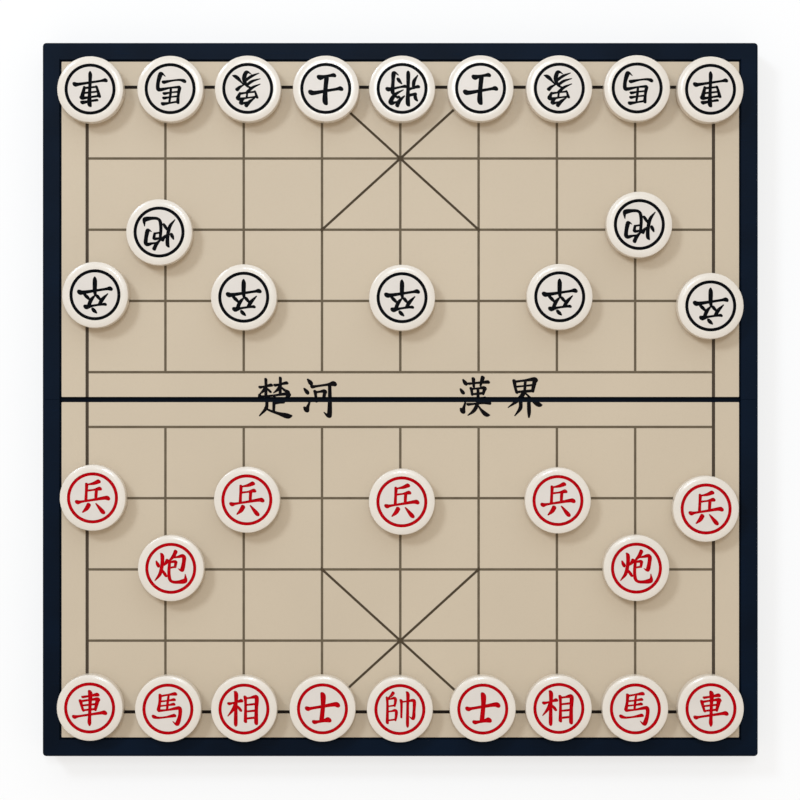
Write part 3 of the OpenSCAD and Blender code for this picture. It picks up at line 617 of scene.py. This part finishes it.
def drop_loose(bm):
    """Deletes the points that no face uses."""
    bmesh.ops.delete(bm, geom=[v for v in bm.verts if not v.link_faces], context="VERTS")


def join_flat(bm, **limits):
    """Joins faces that lie in one plane."""
    bmesh.ops.dissolve_limit(bm, angle_limit=FLAT_ANGLE, verts=bm.verts, edges=bm.edges, **limits)


def piece(name, bm, materials, body):
    """A Blender object from bm that rides on a CAD body."""
    mesh = bpy.data.meshes.new(name)
    bm.to_mesh(mesh)
    bm.free()
    for m in materials:
        mesh.materials.append(m)
    mesh.set_sharp_from_angle(angle=SHARP_ANGLE)
    made = bpy.data.objects.new(name, mesh)
    bpy.context.scene.collection.objects.link(made)
    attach(made, body)
    return made


# Form of a disc, as in the CAD part: a flat face, a gently falling shoulder, a slightly convex
# side, and a rounder corner below than above. Ring and character are engraved and filled with paint.
SHOULDER_R = 8 * MM
SHOULDER_SLOPE = math.radians(16)
CORNER_TOP_R = 0.4 * MM
CORNER_LOW_R = 3 * MM
SIDE_R = 60 * MM
# The ring lies RING_EDGE inside the flat's edge
RING_EDGE = 0.85 * MM
RING_WIDTH = 1.45 * MM
INK_DEPTH = 0.25 * MM
# The magnet's cap below shows as a fine groove
CAP_RADIUS = 9 * MM
CAP_GAP = 0.1 * MM
CAP_GAP_DEPTH = 0.3 * MM
# Steps round a disc, and along each arc of its outline from the lower corner to the shoulder
DISC_SIDES = 96
LOW_CORNER_STEPS = 10
LOW_SIDE_STEPS = 3
HIGH_SIDE_STEPS = 5
TOP_CORNER_STEPS = 8
SHOULDER_STEPS = 6
BODY, FACE, PAINT = range(3)


def arc(x, z, radius, start, end, steps):
    angles = [start + (end - start) * i / steps for i in range(steps + 1)]
    return [(x + radius * math.cos(a), z + radius * math.sin(a)) for a in angles]


def disc_profile(radius, height):
    """Radius, height and material of each step of a disc's outline, from its underside to the face."""
    upright = math.pi / 2
    fall = upright - SHOULDER_SLOPE
    reach = SHOULDER_R - CORNER_TOP_R
    corner_z = height - SHOULDER_R + reach * math.cos(SHOULDER_SLOPE)
    lean_top = math.asin((corner_z - height / 2) / (SIDE_R - CORNER_TOP_R))
    lean_low = math.asin((height / 2 - CORNER_LOW_R) / (SIDE_R - CORNER_LOW_R))
    side_x = radius - SIDE_R
    corner_x = side_x + (SIDE_R - CORNER_TOP_R) * math.cos(lean_top)
    low_x = side_x + (SIDE_R - CORNER_LOW_R) * math.cos(lean_low)
    flat = corner_x - reach * math.sin(SHOULDER_SLOPE)
    side = arc(low_x, CORNER_LOW_R, CORNER_LOW_R, -upright, -lean_low, LOW_CORNER_STEPS)
    side += arc(side_x, height / 2, SIDE_R, -lean_low, 0, LOW_SIDE_STEPS)[1:]
    side += arc(side_x, height / 2, SIDE_R, 0, lean_top, HIGH_SIDE_STEPS)[1:]
    side += arc(corner_x, corner_z, CORNER_TOP_R, lean_top, fall, TOP_CORNER_STEPS)[1:]
    side += arc(flat, height - SHOULDER_R, SHOULDER_R, fall, upright, SHOULDER_STEPS)[1:]
    groove = height - INK_DEPTH
    seat = CAP_RADIUS + CAP_GAP
    cap = [(CAP_RADIUS, 0), (CAP_RADIUS, CAP_GAP_DEPTH), (seat, CAP_GAP_DEPTH), (seat, 0)]
    steps = [(r, z, BODY) for r, z in cap + side]
    outer = flat - RING_EDGE
    inner = outer - RING_WIDTH
    steps += [(outer, height, BODY), (outer, groove, PAINT)]
    return steps + [(inner, groove, PAINT), (inner, height, PAINT)]


def disc_bmesh(radius, height, character, turned):
    """A disc about its own axis: a lathed body, and a face engraved with the character."""
    bm = bmesh.new()
    profile = disc_profile(radius, height)
    angles = [2 * math.pi * i / DISC_SIDES for i in range(DISC_SIDES)]
    rings = [[bm.verts.new((r * math.cos(a), r * math.sin(a), z)) for a in angles] for r, z, _ in profile]
    for low, high, (_, _, material) in zip(rings, rings[1:], profile[1:]):
        for i in range(DISC_SIDES):
            j = (i + 1) % DISC_SIDES
            bm.faces.new((low[i], low[j], high[j], high[i])).material_index = material
    bm.faces.new(rings[0][::-1])

    spin = -1 if turned else 1
    border = [(v.co.x / MM, v.co.y / MM) for v in rings[-1]]
    marks = brush_marks(*character, CHARACTER_SIZE)
    patches = [[(spin * x, spin * y) for x, y in patch] for patch in marks]
    points, inked, bare = draw_in(border, patches)
    top = [bm.verts.new((p.x * MM, p.y * MM, height)) for p in points]
    sunk = {}

    def below(i):
        """The point at the bottom of the engraving, made when it is first asked for."""
        if i not in sunk:
            sunk[i] = bm.verts.new((points[i].x * MM, points[i].y * MM, height - INK_DEPTH))
        return sunk[i]

    for triangle in bare:
        bm.faces.new([top[i] for i in triangle]).material_index = FACE
    for triangle in inked:
        bm.faces.new([below(i) for i in triangle]).material_index = PAINT
    for a, b in rim_edges(inked):
        bm.faces.new((top[b], top[a], below(a), below(b))).material_index = PAINT
    drop_loose(bm)
    bmesh.ops.remove_doubles(bm, verts=bm.verts, dist=SAME_VERTEX)
    join_flat(bm, delimit={"MATERIAL"})
    bmesh.ops.triangulate(bm, faces=[f for f in bm.faces if len(f.verts) > 4])
    bmesh.ops.recalc_face_normals(bm, faces=bm.faces)
    for face in bm.faces:
        face.smooth = True
    return bm


def make_discs(materials):
    for node in frame["nodes"]:
        side, _, role = node.partition("_")
        if side not in ("black", "red"):
            continue
        role = role.split("_")[0]
        character = CHARACTERS.get(role) or CHARACTERS[f"{side}_{role}"]
        low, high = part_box(node)
        middle = (low + high) / 2
        bm = disc_bmesh((high.x - low.x) / 2, high.z - low.z, character, side == "black")
        bmesh.ops.translate(bm, verts=bm.verts, vec=(middle.x, middle.y, low.z))
        finish = [materials["disc_body"], materials["disc_face"], materials[f"{side}_paint"]]
        made = piece(f"{node}_disc", bm, finish, body_of(frame["nodes"][node])[0])
        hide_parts(node)


def make_river(materials):
    """The four characters of the river, printed across the seam and cut by it."""
    for half, side in (("upper", 1), ("lower", -1)):
        near, far = sorted((side * SHEET_SEAM / MM, side * RIVER_REACH))
        bm = bmesh.new()
        for strokes, shift in RIVER:
            left, right = shift - RIVER_REACH, shift + RIVER_REACH
            border = [(left, near), (right, near), (right, far), (left, far)]
            marks = brush_marks(strokes, RIVER_WEIGHT, RIVER_SIZE, shift, RIVER_RISE)
            points, inked, _ = draw_in(border, marks)
            low, high = (
                [bm.verts.new((p.x * MM, p.y * MM, z)) for p in points] for z in (SHEET_TOP, INK_TOP)
            )
            for a, b, c in inked:
                bm.faces.new([high[i] for i in (a, b, c)])
                bm.faces.new([low[i] for i in (c, b, a)])
            for a, b in rim_edges(inked):
                bm.faces.new((low[a], low[b], high[b], high[a]))
        drop_loose(bm)
        join_flat(bm)
        bmesh.ops.triangulate(bm, faces=bm.faces)
        piece(f"{half}_river_print", bm, [materials["river_ink"]], f"{half}_half")


# Finish of the CAD nodes that stay, by the ending of their names
FINISHES = {
    "case": "case",
    "sheet": "sheet",
    "grid": "ink",
    "tray": "tray",
    "screws": "steel",
    "feet": "foot",
    "pin": "steel",
    "clasp": "clasp",
}


def dress_nodes(materials):
    for name, node in frame["nodes"].items():
        words = [w for w in name.split("_") if w in FINISHES]
        if words and not name.startswith(("black", "red")):
            node.data.materials.clear()
            node.data.materials.append(materials[FINISHES[words[-1]]])


# Stage: a white floor, which fades into the white background far from the board, three soft boxes
# and a warm even fill. Together they light a level surface at 1 in each channel, so that it shows its
# own colour. Each box has its share of that light, its size in metres, and its zenith angle and
# azimuth in degrees.
BOX_DISTANCE = 2.5
SOFT_BOXES = {
    "key": ((0.18, 0.205, 0.235), 0.5, 38, 135),
    "overhead": ((0.15, 0.17, 0.19), 0.4, 13.5, 92),
    "window": ((0.06, 0.075, 0.09), 3.0, 56, 85),
}
FLOOR_SIZE = 12
FLOOR_COLOUR = 0.3
FLOOR_GLOW = 0.7
# Distances from the middle, in metres, between which the floor fades
FADE_START = 0.5
FADE_END = 1.5


def add_node(tree, kind, inputs, **settings):
    """Adds a node, with its inputs linked to a socket or set to a value, and returns its first output."""
    made = tree.nodes.new(kind)
    for key, value in settings.items():
        setattr(made, key, value)
    for key, value in inputs.items():
        if isinstance(value, bpy.types.NodeSocket):
            tree.links.new(value, made.inputs[key])
        else:
            made.inputs[key].default_value = value
    return made.outputs[0] if made.outputs else None


def seen_directly(tree):
    """1 for rays from the camera and for reflected and refracted ones, which see the white background."""
    path = tree.nodes.new("ShaderNodeLightPath")
    total = path.outputs["Is Camera Ray"]
    for name in ("Is Glossy Ray", "Is Transmission Ray"):
        total = add_node(tree, "ShaderNodeMath", {0: total, 1: path.outputs[name]}, operation="MAXIMUM")
    return total


def make_world():
    world = bpy.data.worlds.new("studio")
    bpy.context.scene.world = world
    world.use_nodes = True
    tree = world.node_tree
    tree.nodes.clear()
    spent = [sum(shares) for shares in zip(*(box[0] for box in SOFT_BOXES.values()))]
    fill = add_node(tree, "ShaderNodeBackground", {"Color": (*(1 - share for share in spent), 1)})
    white = add_node(tree, "ShaderNodeBackground", {"Color": (1, 1, 1, 1)})
    both = add_node(tree, "ShaderNodeMixShader", {0: seen_directly(tree), 1: fill, 2: white})
    add_node(tree, "ShaderNodeOutputWorld", {0: both})


def make_floor():
    half = FLOOR_SIZE / 2
    corners = [(-half, -half, 0), (half, -half, 0), (half, half, 0), (-half, half, 0)]
    mesh = bpy.data.meshes.new("floor")
    mesh.from_pydata(corners, [], [(0, 1, 2, 3)])
    floor = bpy.data.objects.new("floor", mesh)
    bpy.context.scene.collection.objects.link(floor)
    material = bpy.data.materials.new("floor")
    material.use_nodes = True
    mesh.materials.append(material)
    tree = material.node_tree
    tree.nodes.clear()
    seen = seen_directly(tree)
    paper = add_node(tree, "ShaderNodeBsdfDiffuse", {"Color": (FLOOR_COLOUR, FLOOR_COLOUR, FLOOR_COLOUR, 1)})
    lift = add_node(tree, "ShaderNodeMath", {0: seen, 1: FLOOR_GLOW}, operation="MULTIPLY")
    glow = add_node(tree, "ShaderNodeEmission", {"Strength": lift})
    near = add_node(tree, "ShaderNodeAddShader", {0: paper, 1: glow})
    far = add_node(tree, "ShaderNodeEmission", {"Strength": seen})
    place = tree.nodes.new("ShaderNodeTexCoord").outputs["Object"]
    length = tree.nodes.new("ShaderNodeVectorMath")
    length.operation = "LENGTH"
    tree.links.new(place, length.inputs[0])
    edges = {"Value": length.outputs["Value"], "From Min": FADE_START, "From Max": FADE_END}
    fade = add_node(tree, "ShaderNodeMapRange", edges, interpolation_type="SMOOTHSTEP")
    ground = add_node(tree, "ShaderNodeMixShader", {0: fade, 1: near, 2: far})
    add_node(tree, "ShaderNodeOutputMaterial", {0: ground})


def make_soft_box(name, share, size, zenith, azimuth):
    zenith, azimuth = math.radians(zenith), math.radians(azimuth)
    data = bpy.data.lights.new(name, "AREA")
    data.shape = "DISK"
    data.size = size
    data.energy = math.pi**2 * (BOX_DISTANCE**2 + size**2 / 4) / math.cos(zenith)
    data.color = share
    box = bpy.data.objects.new(name, data)
    out = math.sin(zenith)
    way = Vector((out * math.cos(azimuth), out * math.sin(azimuth), math.cos(zenith)))
    box.location = way * BOX_DISTANCE
    box.rotation_mode = "QUATERNION"
    box.rotation_quaternion = way.to_track_quat("Z", "Y")
    bpy.context.scene.collection.objects.link(box)


bpy.context.scene.view_settings.view_transform = "Standard"
make_camera()
finishes = make_materials()
dress_nodes(finishes)
make_discs(finishes)
make_river(finishes)
make_world()
make_floor()
for name, settings in SOFT_BOXES.items():
    make_soft_box(name, *settings)
